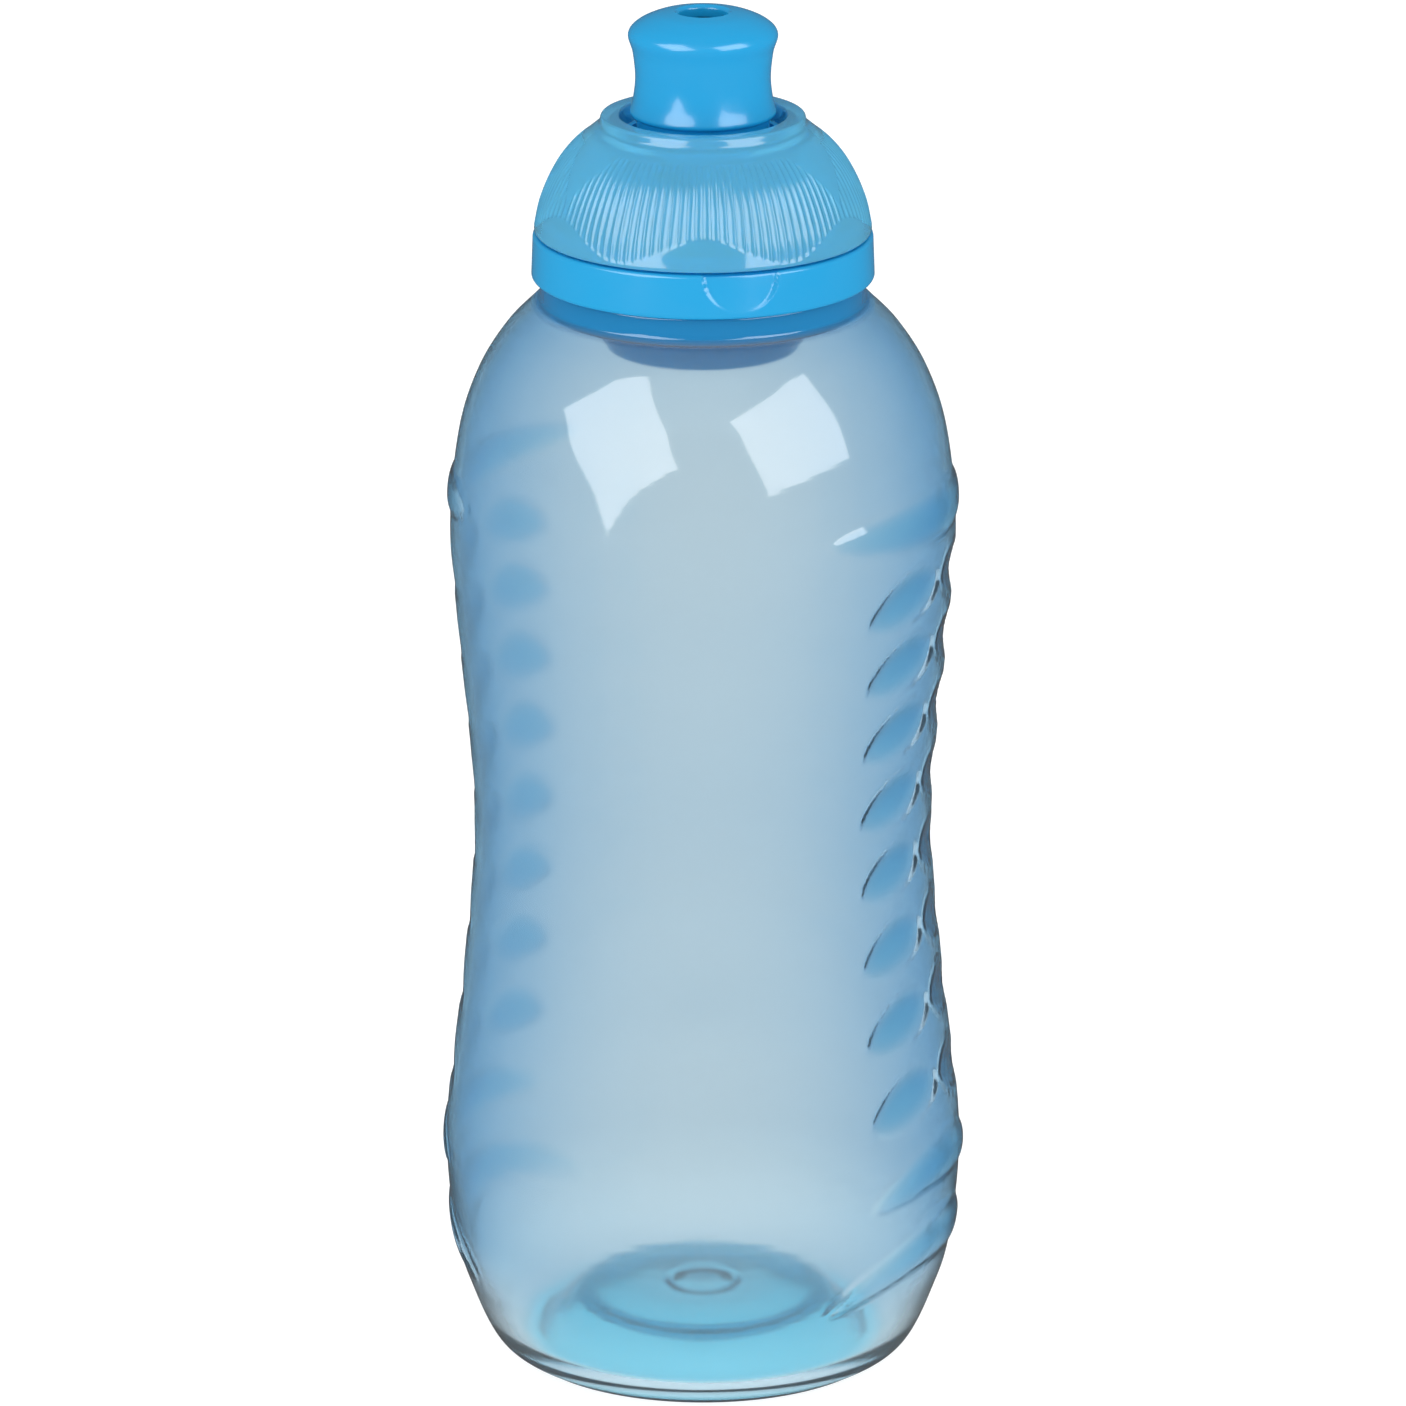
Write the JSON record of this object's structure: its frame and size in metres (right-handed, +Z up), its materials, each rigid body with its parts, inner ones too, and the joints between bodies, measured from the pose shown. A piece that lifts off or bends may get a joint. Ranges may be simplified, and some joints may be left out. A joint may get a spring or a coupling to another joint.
{
  "type": "sports squeeze bottle",
  "caption": "Squeezable drinking bottle with ribbed side grips, a screw-on cap and a domed collar that twists the drinking nozzle up and down.",
  "frame": {"origin": "centre of the ring that the bottle stands on, in the plane of the surface under it", "axes": "+Z up along the bottle's axis, -Y to the front, the two ribbed grips facing +X and -X"},
  "size_m": [0.0732, 0.072, 0.1923],
  "materials": {
    "squeeze_plastic": "translucent gloss",
    "cap_plastic": "satin gloss",
    "dome_plastic": "translucent gloss",
    "seal_rubber": "matte"
  },
  "bodies": {
    "bottle": {"bottle_body": "squeeze_plastic"},
    "gasket": {"cap_gasket": "seal_rubber"},
    "cap": {"cap_base": "cap_plastic", "valve_post": "cap_plastic"},
    "nozzle": {"nozzle": "cap_plastic", "nozzle_seal": "seal_rubber"},
    "dome": {"twist_dome": "dome_plastic"}
  },
  "joints": [
    {"name": "cap_lift", "type": "slide", "parent": "bottle", "child": "gasket", "axis": [0, 0, 1], "range_m": [0, 0.015]},
    {"name": "cap_unscrew", "type": "hinge", "parent": "gasket", "child": "cap", "pos_m": [0, 0, 0.158], "axis": [0, 0, 1], "range_deg": [0, 1080]},
    {"name": "dome_twist", "type": "hinge", "parent": "cap", "child": "dome", "pos_m": [0, 0, 0.165], "axis": [0, 0, 1], "range_deg": [-90, 0]},
    {"name": "nozzle_lift", "type": "slide", "parent": "cap", "child": "nozzle", "axis": [0, 0, 1], "range_m": [-0.009, 0]}
  ],
  "couplings": [
    {"joint": "cap_unscrew", "follows": "cap_lift", "rad_per_m": 1256.6},
    {"joint": "dome_twist", "follows": "nozzle_lift", "rad_per_m": 174.53}
  ]
}
